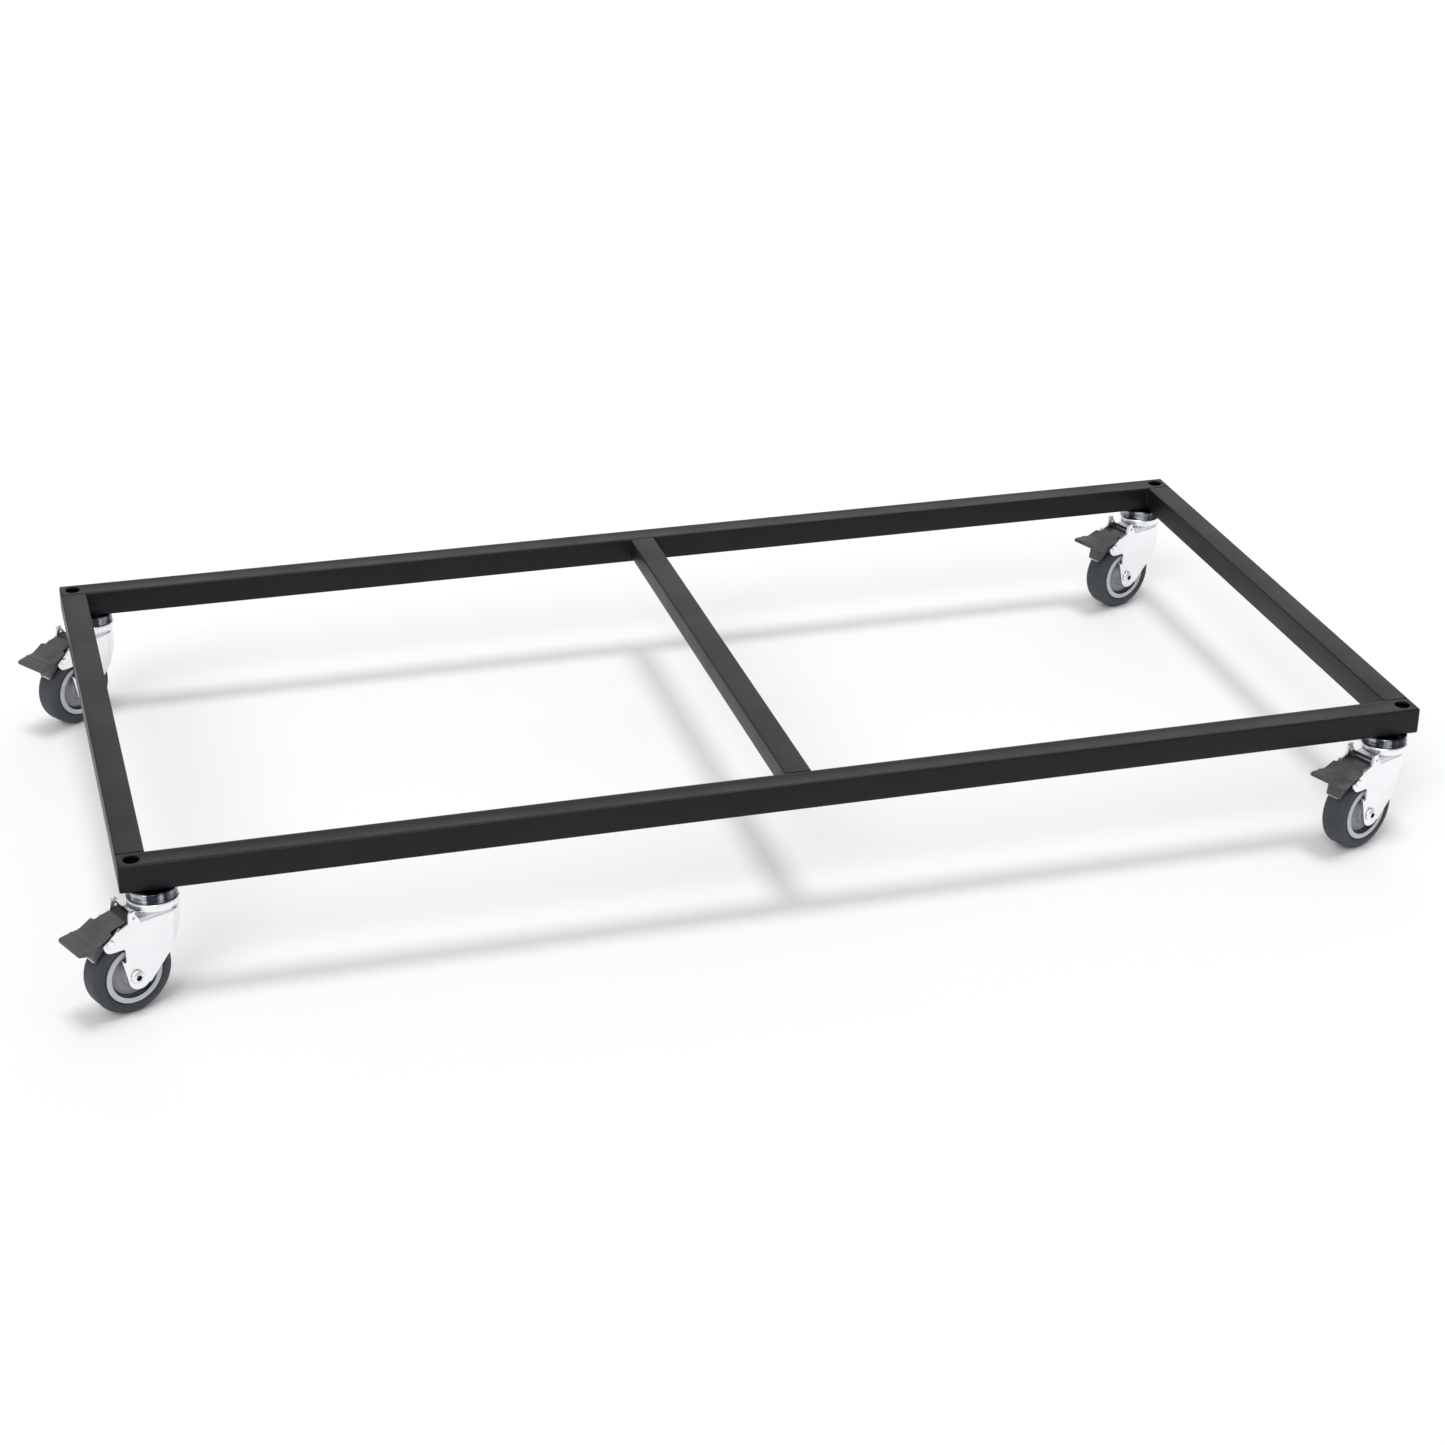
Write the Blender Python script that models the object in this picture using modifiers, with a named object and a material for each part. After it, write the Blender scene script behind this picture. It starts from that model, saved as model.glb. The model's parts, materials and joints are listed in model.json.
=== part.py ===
"""Flat furniture dolly: a welded frame of square steel tube on four braked swivel castors.

Metres, +Z up, floor at Z = 0, long side along X. The origin is the middle of the whole dolly's
box at floor level. Each castor is drawn once in its own axes, where +X is the direction it
trails in, Z = 0 is the underside of the frame and the swivel axis is X = Y = 0, and is then
placed under each end of the long rails.
"""

from math import cos, pi, radians, sin

import bmesh
import bpy
from mathutils import Matrix, Vector

# Driving dimensions of the frame
FRAME_LENGTH = 1.200
FRAME_WIDTH = 0.603
TUBE = 0.025
TUBE_WALL = 0.002
TUBE_EDGE = 0.0015
CROSS_WIDTH = 0.025
CROSS_HEIGHT = 0.020
ACCESS_HOLE_RADIUS = 0.007
GAP = 0.0003

# Driving dimensions of a castor
CASTOR_HEIGHT = 0.110
WHEEL_RADIUS = 0.0375
WHEEL_WIDTH = 0.025
TRAIL = 0.029
SWIVEL_FROM_END = 0.0277
PEDAL_LIFT = 12
CASTORS = {
    # corner: (side along X, side along Y, degrees that it trails from -X towards -Y, brake off)
    "front_left": (-1, -1, 24, False),
    "front_right": (1, -1, 23, True),
    "rear_right": (1, 1, 21, True),
    "rear_left": (-1, 1, 35, False),
}

# Castor details
STEM_RADIUS = 0.006
STEM_HOLE_RADIUS = 0.0063
BALL_CIRCLE = 0.0155
BALL_HEIGHT = -0.0064
BALL_RADIUS = 0.0019
HEAD_RADIUS = 0.0213
HEAD_HEIGHT = 0.0085
CROWN_RADIUS = 0.023
CROWN_TOP = -0.0090
CROWN_UNDER = -0.0155
CROWN_NECK_RADIUS = 0.0155
YOKE_TOP = -0.0195
YOKE_THICKNESS = 0.003
YOKE_END = 0.0225
YOKE_BEND = -0.006
YOKE_NOSE = 0.0165
LEG_INSIDE = 0.014
LEG_THICKNESS = 0.0025
HUB_RADIUS = 0.0272
HUB_HALF_LENGTH = 0.0132
SLEEVE_RADIUS = 0.007
AXLE_RADIUS = 0.004
PEDAL_PIVOT = (0.0510, -0.0330)
PEDAL_PIN_RADIUS = 0.002
PEDAL_HALF_WIDTH = 0.018
NECK_HALF_WIDTH = 0.0130
LEVER_HALF_WIDTH = 0.0085
SHOE_CLEARANCE = 0.0004

AXLE = (TRAIL, WHEEL_RADIUS - CASTOR_HEIGHT)
QUARTERS = [radians(90 + 180 * i / 8) for i in range(9)]

parts = None
cutters = None
materials = {}


def clear_scene():
    for obj in list(bpy.data.objects):
        bpy.data.objects.remove(obj, do_unlink=True)


def collection(name):
    made = bpy.data.collections.new(name)
    bpy.context.scene.collection.children.link(made)
    return made


def material(name, colour, roughness, metallic=0.0):
    made = bpy.data.materials.new(name)
    made.use_nodes = True
    shader = made.node_tree.nodes["Principled BSDF"]
    shader.inputs["Base Color"].default_value = (*colour, 1.0)
    shader.inputs["Roughness"].default_value = roughness
    shader.inputs["Metallic"].default_value = metallic
    made.diffuse_color = (*colour, 1.0)
    materials[name] = made


def make_materials():
    material("black_powder_coat", (0.030, 0.030, 0.033), 0.48)
    material("zinc_plate", (0.74, 0.76, 0.78), 0.24, 1.0)
    material("dark_steel", (0.10, 0.11, 0.13), 0.30, 1.0)
    material("grey_rubber", (0.075, 0.082, 0.092), 0.62)
    material("grey_plastic", (0.26, 0.27, 0.30), 0.50)
    material("dark_plastic", (0.060, 0.058, 0.060), 0.55)


# Shapes


def mesh_object(name, mesh, where):
    obj = bpy.data.objects.new(name, mesh)
    where.objects.link(obj)
    return obj


def box(name, low, high, where):
    """A box between two corners."""
    mesh = bpy.data.meshes.new(name)
    bm = bmesh.new()
    bmesh.ops.create_cube(bm, size=1.0)
    size = Vector(high) - Vector(low)
    bmesh.ops.scale(bm, vec=size, verts=bm.verts)
    bmesh.ops.translate(bm, vec=(Vector(high) + Vector(low)) / 2, verts=bm.verts)
    bm.to_mesh(mesh)
    bm.free()
    return mesh_object(name, mesh, where)


def cylinder(name, radius, low, high, segments, where, axis="Z", centre=(0.0, 0.0)):
    """A cylinder from low to high along Z, or along Y. centre is (X, Y), or (X, Z) along Y."""
    mesh = bpy.data.meshes.new(name)
    bm = bmesh.new()
    bmesh.ops.create_cone(
        bm, cap_ends=True, segments=segments, radius1=radius, radius2=radius, depth=high - low
    )
    bmesh.ops.translate(bm, vec=(0, 0, (low + high) / 2), verts=bm.verts)
    if axis == "Y":
        bmesh.ops.rotate(bm, matrix=Matrix.Rotation(-pi / 2, 3, "X"), verts=bm.verts)
        bmesh.ops.translate(bm, vec=(centre[0], 0, centre[1]), verts=bm.verts)
    else:
        bmesh.ops.translate(bm, vec=(centre[0], centre[1], 0), verts=bm.verts)
    bm.to_mesh(mesh)
    bm.free()
    return mesh_object(name, mesh, where)


def turned(name, outline, segments, closed=True, where=None):
    """A profile of (radius, height) points, top to bottom on its outer side, turned about Z."""
    mesh = bpy.data.meshes.new(name)
    points = [(radius, 0.0, height) for radius, height in outline]
    edges = [(i, i + 1) for i in range(len(points) - 1)]
    if closed:
        edges.append((len(points) - 1, 0))
    mesh.from_pydata(points, edges, [])
    obj = mesh_object(name, mesh, where or parts)
    screw = obj.modifiers.new("Turn", "SCREW")
    screw.steps = segments
    screw.render_steps = segments
    screw.use_merge_vertices = True
    screw.merge_threshold = 0.000001
    return obj


def plate(name, outline, half_width, where):
    """A flat outline of (X, Z) points, made thick along Y."""
    curve = bpy.data.curves.new(name, "CURVE")
    curve.dimensions = "2D"
    curve.fill_mode = "BOTH"
    curve.extrude = half_width
    spline = curve.splines.new("POLY")
    spline.points.add(len(outline) - 1)
    for point, (x, z) in zip(spline.points, outline):
        point.co = (x, z, 0, 1)
    spline.use_cyclic_u = True
    obj = mesh_object(name, curve, where)
    flat = bake(obj, name)
    flat.transform(Matrix.Rotation(pi / 2, 4, "X"))
    bpy.data.objects.remove(obj)
    return mesh_object(name, flat, where)


def bake(obj, name):
    """The object's mesh with its modifiers applied and its doubled points welded."""
    bpy.context.view_layer.update()
    graph = bpy.context.evaluated_depsgraph_get()
    mesh = bpy.data.meshes.new_from_object(obj.evaluated_get(graph))
    mesh.name = name
    bm = bmesh.new()
    bm.from_mesh(mesh)
    bmesh.ops.remove_doubles(bm, verts=bm.verts, dist=0.000002)
    bmesh.ops.recalc_face_normals(bm, faces=bm.faces)
    bm.to_mesh(mesh)
    bm.free()
    return mesh


def bevel(obj, width, segments=1, angle=30):
    modifier = obj.modifiers.new("Edges", "BEVEL")
    modifier.width = width
    modifier.segments = segments
    modifier.limit_method = "ANGLE"
    modifier.angle_limit = radians(angle)


def boolean(obj, cutter, operation="DIFFERENCE"):
    cutter.hide_render = True
    cutter.display_type = "WIRE"
    modifier = obj.modifiers.new(cutter.name, "BOOLEAN")
    modifier.operation = operation
    modifier.object = cutter


def arc(centre, radius, start, end, count):
    """Points on a circle, from start to end in degrees."""
    steps = [radians(start + (end - start) * i / (count - 1)) for i in range(count)]
    return [(centre[0] + radius * cos(a), centre[1] + radius * sin(a)) for a in steps]


def finish(obj, material_name, angle=35):
    obj.data.materials.clear()
    obj.data.materials.append(materials[material_name])
    obj.data.shade_smooth()
    obj.data.set_sharp_from_angle(angle=radians(angle))


# The frame


def swivel_place(side_x, side_y):
    """Where a castor's swivel axis stands, from the middle of the frame."""
    return (
        side_x * (FRAME_LENGTH / 2 - SWIVEL_FROM_END),
        side_y * (FRAME_WIDTH - TUBE) / 2,
    )


def long_rail(name, side_y, top):
    """A full-length tube with plated ends, an access hole at each end and two stem holes."""
    middle = side_y * (FRAME_WIDTH - TUBE) / 2
    end = FRAME_LENGTH / 2
    inner = TUBE / 2 - TUBE_WALL
    rail = box(name, (-end, middle - TUBE / 2, top - TUBE), (end, middle + TUBE / 2, top), parts)
    bevel(rail, TUBE_EDGE, 2)
    hollow = box(
        name + "_hollow",
        (-end + TUBE_WALL, middle - inner, top - TUBE / 2 - inner),
        (end - TUBE_WALL, middle + inner, top - TUBE / 2 + inner),
        cutters,
    )
    boolean(rail, hollow)
    for side_x in (-1, 1):
        hole = cylinder(
            f"{name}_access_{side_x}",
            ACCESS_HOLE_RADIUS,
            top - TUBE / 2,
            top + TUBE,
            16,
            cutters,
            centre=(side_x * (end - TUBE / 2), middle),
        )
        boolean(rail, hole)
        stem_hole = cylinder(
            f"{name}_stem_{side_x}",
            STEM_HOLE_RADIUS,
            top - 2 * TUBE,
            top - TUBE / 2,
            16,
            cutters,
            centre=swivel_place(side_x, side_y),
        )
        boolean(rail, stem_hole)
    return rail


def short_tube(name, middle, width, height, top):
    """An open tube welded between the two long rails."""
    reach = FRAME_WIDTH / 2 - TUBE - GAP
    low = (middle - width / 2, -reach, top - height)
    tube = box(name, low, (middle + width / 2, reach, top), parts)
    bevel(tube, TUBE_EDGE, 2)
    inner_low = (middle - width / 2 + TUBE_WALL, -reach - TUBE, top - height + TUBE_WALL)
    inner_high = (middle + width / 2 - TUBE_WALL, reach + TUBE, top - TUBE_WALL)
    boolean(tube, box(name + "_hollow", inner_low, inner_high, cutters))
    return tube


def make_frame():
    top = CASTOR_HEIGHT + TUBE
    end_middle = (FRAME_LENGTH - TUBE) / 2
    tubes = [
        long_rail("front_rail", -1, top),
        long_rail("rear_rail", 1, top),
        short_tube("left_end_rail", -end_middle, TUBE, TUBE, top),
        short_tube("right_end_rail", end_middle, TUBE, TUBE, top),
        short_tube("cross_member", 0.0, CROSS_WIDTH, CROSS_HEIGHT, top),
    ]
    for tube in tubes:
        finish(tube, "black_powder_coat")
    return tubes


# The castor's pieces, in the castor's own axes


def weld_nut():
    """The threaded nut inside the rail that the castor's stem screws into."""
    low = TUBE_WALL + GAP
    nut = cylinder("weld_nut", 0.0095, low, low + 0.010, 6, parts)
    boolean(nut, cylinder("weld_nut_bore", STEM_HOLE_RADIUS, -TUBE, TUBE, 12, cutters))
    return nut


def stem_bolt():
    """The king pin: a stem through head and crown, with its hexagon head under the crown."""
    under = YOKE_TOP - YOKE_THICKNESS - GAP
    stem = cylinder("stem_bolt", STEM_RADIUS, under - 0.003, 0.014, 12, parts)
    boolean(stem, cylinder("stem_head", 0.0105, under - 0.0065, under, 6, cutters), "UNION")
    return stem


def head_race():
    """The fixed upper race: a pressed cap that covers the balls."""
    edge = 0.0016
    skirt = HEAD_RADIUS - 0.0022
    outline = [
        (STEM_HOLE_RADIUS, -GAP),
        (HEAD_RADIUS - edge, -GAP),
        (HEAD_RADIUS, -GAP - edge),
        (HEAD_RADIUS, -HEAD_HEIGHT),
        (skirt, -HEAD_HEIGHT),
        (skirt, -0.0042),
        (0.0115, -0.0042),
        (0.0105, -0.0074),
        (STEM_HOLE_RADIUS, -0.0074),
    ]
    return turned("head_race", outline, 20)


def ball_ring():
    """The ring of balls between the head and the crown, as one closed ring."""
    ring = arc((BALL_CIRCLE, BALL_HEIGHT), BALL_RADIUS, 60, -300, 7)[:-1]
    return turned("ball_ring", ring, 16)


# The fork's side view: down its leading edge, round the axle, and up over the pedal's ear
FORK_OUTLINE = [
    (-0.0225, YOKE_TOP),
    (-0.0218, -0.0270),
    (-0.0125, -0.0440),
    (-0.0068, -0.0560),
    (0.0065, -0.0705),
    (0.0150, -0.0800),
    *arc((0.0265, -0.0745), 0.0105, 225, 345, 5),
    (0.0374, -0.0600),
    (0.0378, -0.0430),
    *arc((0.0503, -0.0352), 0.0068, 265, 390, 5),
    (0.0455, -0.0247),
    (0.0335, -0.0205),
    (0.0314, -0.0122),
    (0.0290, -0.0104),
    (0.0250, -0.0104),
    (0.0225, YOKE_TOP),
]


def yoke_plan(half_width, nose, name):
    """A prism with the yoke's plan: straight sides and a rounded leading end."""
    rounded = [(YOKE_BEND + nose * cos(a), half_width * sin(a)) for a in QUARTERS]
    outline = [(0.1, -half_width), (0.1, half_width)] + rounded
    prism = plate(name, outline, 0.1, cutters)
    prism.data.transform(Matrix.Rotation(-pi / 2, 4, "X"))
    return prism


def fork():
    """A pressed steel fork: crown, two legs and the ears that hold the pedal's pin."""
    outer = LEG_INSIDE + LEG_THICKNESS
    body = plate("fork", FORK_OUTLINE, 2 * outer, parts)
    boolean(body, yoke_plan(outer, YOKE_NOSE, "fork_plan"), "INTERSECT")
    inside = yoke_plan(LEG_INSIDE, YOKE_NOSE - LEG_THICKNESS, "fork_inside")
    inside.data.transform(Matrix.Translation((0, 0, YOKE_TOP - YOKE_THICKNESS - 0.1)))
    boolean(body, inside)
    behind_low = (YOKE_END, -LEG_INSIDE, -0.2)
    boolean(body, box("fork_behind", behind_low, (0.1, LEG_INSIDE, 0.1), cutters))
    crown_outline = [
        (0.0, CROWN_TOP),
        (CROWN_RADIUS - 0.0008, CROWN_TOP),
        (CROWN_RADIUS, CROWN_TOP - 0.0010),
        (CROWN_RADIUS, CROWN_UNDER + 0.0010),
        (CROWN_RADIUS - 0.0012, CROWN_UNDER),
        (CROWN_NECK_RADIUS, CROWN_UNDER),
        (CROWN_NECK_RADIUS, YOKE_TOP - 0.0010),
        (0.0, YOKE_TOP - 0.0010),
    ]
    boolean(body, turned("fork_crown", crown_outline, 20, False, cutters), "UNION")
    boolean(body, cylinder("fork_bore", STEM_HOLE_RADIUS, -0.03, 0.0, 12, cutters))
    boolean(body, cylinder("fork_axle", AXLE_RADIUS + GAP, -0.03, 0.03, 12, cutters, "Y", AXLE))
    pin_hole = PEDAL_PIN_RADIUS + GAP
    boolean(body, cylinder("fork_pin", pin_hole, -0.03, 0.03, 12, cutters, "Y", PEDAL_PIVOT))
    return body


def along_axle(obj):
    """Lays a turned piece along Y, with its middle on the axle."""
    mesh = bake(obj, obj.name)
    mesh.transform(Matrix.Translation((AXLE[0], 0, AXLE[1])) @ Matrix.Rotation(-pi / 2, 4, "X"))
    name = obj.name
    bpy.data.objects.remove(obj)
    return mesh_object(name, mesh, parts)


def tyre():
    half = WHEEL_WIDTH / 2
    inner = HUB_RADIUS + GAP
    shoulder = 0.0062
    outline = [
        (inner, half - 0.0004),
        (0.0322, half),
        *arc((WHEEL_RADIUS - shoulder, half - shoulder), shoulder, 72, 18, 2),
        (WHEEL_RADIUS, 0.0032),
        (WHEEL_RADIUS, -0.0032),
        *arc((WHEEL_RADIUS - shoulder, shoulder - half), shoulder, -18, -72, 2),
        (0.0322, -half),
        (inner, 0.0004 - half),
    ]
    return along_axle(turned("tyre", outline, 32))


def wheel_hub():
    half = WHEEL_WIDTH / 2
    bore = SLEEVE_RADIUS + GAP
    side = [
        (bore, HUB_HALF_LENGTH),
        (0.0105, HUB_HALF_LENGTH),
        (0.0118, 0.0085),
        (0.0211, 0.0075),
        (0.0222, half + 0.0001),
        (0.0258, half + 0.0003),
        (HUB_RADIUS, half - 0.0012),
    ]
    other = [(radius, -height) for radius, height in reversed(side)]
    return along_axle(turned("wheel_hub", side + other, 24))


def axle_sleeve():
    reach = LEG_INSIDE - GAP
    outline = [
        (AXLE_RADIUS + GAP, reach),
        (SLEEVE_RADIUS, reach),
        (SLEEVE_RADIUS, -reach),
        (AXLE_RADIUS + GAP, -reach),
    ]
    return along_axle(turned("axle_sleeve", outline, 12))


def axle_bolt():
    """The axle: a round head on the castor's +Y side and a threaded end on the other."""
    face = LEG_INSIDE + LEG_THICKNESS + GAP
    outline = [
        (0.0, face + 0.0012),
        (0.0022, face + 0.0012),
        (0.0024, face + 0.0030),
        (0.0052, face + 0.0028),
        (0.0064, face + 0.0012),
        (0.0064, face),
        (AXLE_RADIUS, face),
        (AXLE_RADIUS, -face - 0.0075),
        (0.0, -face - 0.0075),
    ]
    return along_axle(turned("axle_bolt", outline, 12, False))


def axle_nut():
    face = LEG_INSIDE + LEG_THICKNESS + GAP
    nut = cylinder("axle_nut", 0.0075, -face - 0.0065, -face, 6, parts, "Y", AXLE)
    bore = cylinder("axle_nut_bore", AXLE_RADIUS + GAP, -0.05, 0.0, 12, cutters, "Y", AXLE)
    boolean(nut, bore)
    return nut


def pedal_pin():
    """The rivet that the pedal turns on, with a flat head outside each ear."""
    face = LEG_INSIDE + LEG_THICKNESS + GAP
    pin = cylinder("pedal_pin", PEDAL_PIN_RADIUS, -face, face, 12, parts, "Y", PEDAL_PIVOT)
    for side in (-1, 1):
        ends = sorted((side * (face - 0.0001), side * (face + 0.0014)))
        head = cylinder(f"pin_head_{side}", 0.0038, *ends, 12, cutters, "Y", PEDAL_PIVOT)
        boolean(pin, head, "UNION")
    return pin


# The pedal's side view with the brake on: its top from the neck out to the tip, and its
# underside back again
PEDAL_TOP = [
    (0.0255, -0.0182),
    (0.0320, -0.0186),
    (0.0420, -0.0203),
    (0.0500, -0.0228),
    (0.0560, -0.0254),
    (0.0615, -0.0282),
    (0.0690, -0.0288),
    (0.0775, -0.0300),
    (0.0816, -0.0328),
]
PEDAL_UNDERSIDE = [
    (0.0806, -0.0356),
    (0.0755, -0.0364),
    (0.0690, -0.0373),
    (0.0660, -0.0362),
    (0.0625, -0.0310),
    (0.0540, -0.0272),
    (0.0500, -0.0246),
    (0.0440, -0.0230),
    (0.0340, -0.0216),
    (0.0255, -0.0211),
]
NECK_END = 0.0495


def brake_pedal():
    """The moulded foot pedal: a broad ribbed tread and a narrower neck between the legs."""
    pedal = plate("brake_pedal", PEDAL_TOP + PEDAL_UNDERSIDE, PEDAL_HALF_WIDTH, parts)
    for side in (-1, 1):
        ends = sorted((side * NECK_HALF_WIDTH, side * 2 * PEDAL_HALF_WIDTH))
        beside_neck = box(
            f"beside_neck_{side}", (-0.1, ends[0], -0.1), (NECK_END, ends[1], 0.1), cutters
        )
        boolean(pedal, beside_neck)
    return pedal


def brake_lever():
    """The lever under the pedal: it turns on the pin and carries the brake shoe."""
    shoe_radius = WHEEL_RADIUS + SHOE_CLEARANCE
    shoe = arc(AXLE, shoe_radius, 31, 46, 4)
    heel = arc(AXLE, WHEEL_RADIUS + 0.0015, 54, 60, 2) + [(0.0456, -0.0300)]
    top = [(x - 0.0004, z - 0.0005) for x, z in PEDAL_UNDERSIDE[6:3:-1]]
    outline = top + [(0.0626, -0.0330)] + shoe + heel
    lever = plate("brake_lever", outline, LEVER_HALF_WIDTH, parts)
    hole = PEDAL_PIN_RADIUS + GAP
    boolean(lever, cylinder("lever_hole", hole, -0.03, 0.03, 12, cutters, "Y", PEDAL_PIVOT))
    return lever


# Piece: (function, material, what it moves with)
CASTOR_PIECES = {
    "weld_nut": (weld_nut, "dark_steel", "frame"),
    "stem_bolt": (stem_bolt, "zinc_plate", "frame"),
    "head_race": (head_race, "dark_steel", "frame"),
    "ball_ring": (ball_ring, "dark_steel", "swivel"),
    "fork": (fork, "zinc_plate", "swivel"),
    "axle_sleeve": (axle_sleeve, "dark_steel", "swivel"),
    "axle_bolt": (axle_bolt, "zinc_plate", "swivel"),
    "axle_nut": (axle_nut, "zinc_plate", "swivel"),
    "pedal_pin": (pedal_pin, "zinc_plate", "swivel"),
    "tyre": (tyre, "grey_rubber", "wheel"),
    "wheel_hub": (wheel_hub, "grey_plastic", "wheel"),
    "brake_pedal": (brake_pedal, "dark_plastic", "pedal"),
    "brake_lever": (brake_lever, "dark_plastic", "pedal"),
}

# Where each moving group turns, in the castor's axes
PIVOTS = {
    "frame": (0.0, 0.0, 0.0),
    "swivel": (0.0, 0.0, 0.0),
    "wheel": (AXLE[0], 0.0, AXLE[1]),
    "pedal": (PEDAL_PIVOT[0], 0.0, PEDAL_PIVOT[1]),
}


def castor_meshes():
    """Each castor piece's finished mesh, with its origin on the axis that it turns about."""
    meshes = {}
    for name, (make, material_name, group) in CASTOR_PIECES.items():
        obj = make()
        mesh = bake(obj, "castor_" + name)
        mesh.transform(Matrix.Translation(-Vector(PIVOTS[group])))
        bpy.data.objects.remove(obj)
        carrier = bpy.data.objects.new(name, mesh)
        finish(carrier, material_name)
        bpy.data.objects.remove(carrier)
        meshes[name] = mesh
    return meshes


def empty(name, location, rotation=(0.0, 0.0, 0.0), parent=None):
    made = bpy.data.objects.new(name, None)
    made.empty_display_size = 0.02
    made.location = location
    made.rotation_euler = rotation
    made.parent = parent
    parts.objects.link(made)
    return made


def place_castor(corner, meshes):
    """One castor under the frame, its pieces parented to an empty on each pivot."""
    side_x, side_y, trail_degrees, brake_off = CASTORS[corner]
    x, y = swivel_place(side_x, side_y)
    turn = (0.0, 0.0, radians(180 + trail_degrees))
    lift = (0.0, radians(-PEDAL_LIFT) if brake_off else 0.0, 0.0)
    swivel = empty(corner + "_swivel", (x, y, CASTOR_HEIGHT), turn)
    pivots = {
        "frame": swivel,
        "swivel": swivel,
        "wheel": empty(corner + "_axle", PIVOTS["wheel"], parent=swivel),
        "pedal": empty(corner + "_pedal_pivot", PIVOTS["pedal"], lift, swivel),
    }
    for name, (_, _, group) in CASTOR_PIECES.items():
        obj = mesh_object(f"{corner}_{name}", meshes[name], parts)
        obj.parent = pivots[group]
    return swivel


def centre_on_origin(roots):
    """Moves the dolly so that the middle of its box stands on the origin."""
    bpy.context.view_layer.update()
    graph = bpy.context.evaluated_depsgraph_get()
    corners = []
    for obj in parts.objects:
        if obj.type == "MESH":
            solid = obj.evaluated_get(graph)
            corners += [solid.matrix_world @ vertex.co for vertex in solid.data.vertices]
    for axis in (0, 1):
        values = [corner[axis] for corner in corners]
        middle = (min(values) + max(values)) / 2
        for root in roots:
            root.location[axis] -= middle


def main():
    global parts, cutters
    clear_scene()
    parts = collection("furniture_dolly")
    cutters = collection("cutters")
    make_materials()
    meshes = castor_meshes()
    for obj in list(cutters.objects):
        bpy.data.objects.remove(obj)
    roots = make_frame() + list(cutters.objects)
    roots += [place_castor(corner, meshes) for corner in CASTORS]
    centre_on_origin(roots)


main()
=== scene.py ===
"""A flat furniture dolly on four braked swivel castors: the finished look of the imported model.

Metres, in the model's own frame. A castor's pieces are drawn once in the castor's own axes, where
+X is the way it trails, Z = 0 is the underside of the rail and the swivel axis is X = Y = 0, with
the brake on. Its joints then say where each castor's copies go.
"""

import json
from math import cos, pi, radians, sin, sqrt, tan

import bmesh
import bpy
from mathutils import Matrix, Vector, noise


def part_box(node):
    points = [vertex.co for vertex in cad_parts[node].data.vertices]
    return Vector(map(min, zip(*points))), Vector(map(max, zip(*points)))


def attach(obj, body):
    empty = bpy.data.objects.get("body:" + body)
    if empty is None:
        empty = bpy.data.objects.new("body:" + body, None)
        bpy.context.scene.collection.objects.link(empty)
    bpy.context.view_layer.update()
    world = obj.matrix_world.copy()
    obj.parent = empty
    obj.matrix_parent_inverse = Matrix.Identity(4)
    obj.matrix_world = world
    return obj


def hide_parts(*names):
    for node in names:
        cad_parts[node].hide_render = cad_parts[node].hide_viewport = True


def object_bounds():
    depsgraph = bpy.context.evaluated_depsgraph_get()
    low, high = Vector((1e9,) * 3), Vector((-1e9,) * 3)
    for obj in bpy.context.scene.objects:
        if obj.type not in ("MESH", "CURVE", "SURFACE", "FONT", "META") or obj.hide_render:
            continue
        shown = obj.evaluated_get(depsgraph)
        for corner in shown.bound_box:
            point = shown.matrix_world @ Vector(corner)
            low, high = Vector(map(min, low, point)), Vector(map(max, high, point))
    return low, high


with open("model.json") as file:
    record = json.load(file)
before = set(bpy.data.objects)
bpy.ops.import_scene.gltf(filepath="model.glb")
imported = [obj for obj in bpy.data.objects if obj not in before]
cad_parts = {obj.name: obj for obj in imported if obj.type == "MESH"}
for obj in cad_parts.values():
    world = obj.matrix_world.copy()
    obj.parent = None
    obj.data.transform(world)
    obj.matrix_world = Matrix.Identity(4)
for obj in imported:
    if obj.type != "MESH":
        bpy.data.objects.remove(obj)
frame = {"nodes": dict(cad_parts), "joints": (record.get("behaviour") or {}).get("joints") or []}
CAD_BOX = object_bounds()
JOINTS = {joint["name"]: joint for joint in frame["joints"]}
CORNERS = ("front_left", "front_right", "rear_right", "rear_left")
UP = Vector((0, 0, 1))

# The frame's tubes
TUBE_WALL = 0.002
TUBE_EDGE = 0.0017
HOLE_RADIUS = 0.007
HOLE_LIP = 0.0005
STEM_HOLE_RADIUS = 0.0064
BEAD_RADIUS = 0.0011
BEAD_PITCH = 0.0011
BEAD_SIDES = 10

# The castor, in its own axes
STEM_RADIUS = 0.0063
HEAD_RADIUS = 0.0213
HEAD_HEIGHT = 0.0085
CROWN_RADIUS = 0.0229
CROWN_TOP = -0.0090
CROWN_UNDER = -0.0157
YOKE_TOP = -0.0195
YOKE_SHEET = 0.0028
YOKE_END = 0.0225
YOKE_BEND = -0.0060
LEG_INSIDE = 0.0140
LEG_OUTSIDE = 0.0165
TAB_HOLE = (0.0277, -0.0165)
TAB_HOLE_RADIUS = 0.0013
HUB_RADIUS = 0.0272
AXLE_RADIUS = 0.0040
SOCKET_REACH = 0.0028
PIN_RADIUS = 0.0020
NECK_HALF_WIDTH = 0.0130
PEDAL_HALF_WIDTH = 0.0180
LEVER_HALF_WIDTH = 0.0085
SHOE_HALF_WIDTH = 0.0050


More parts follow.
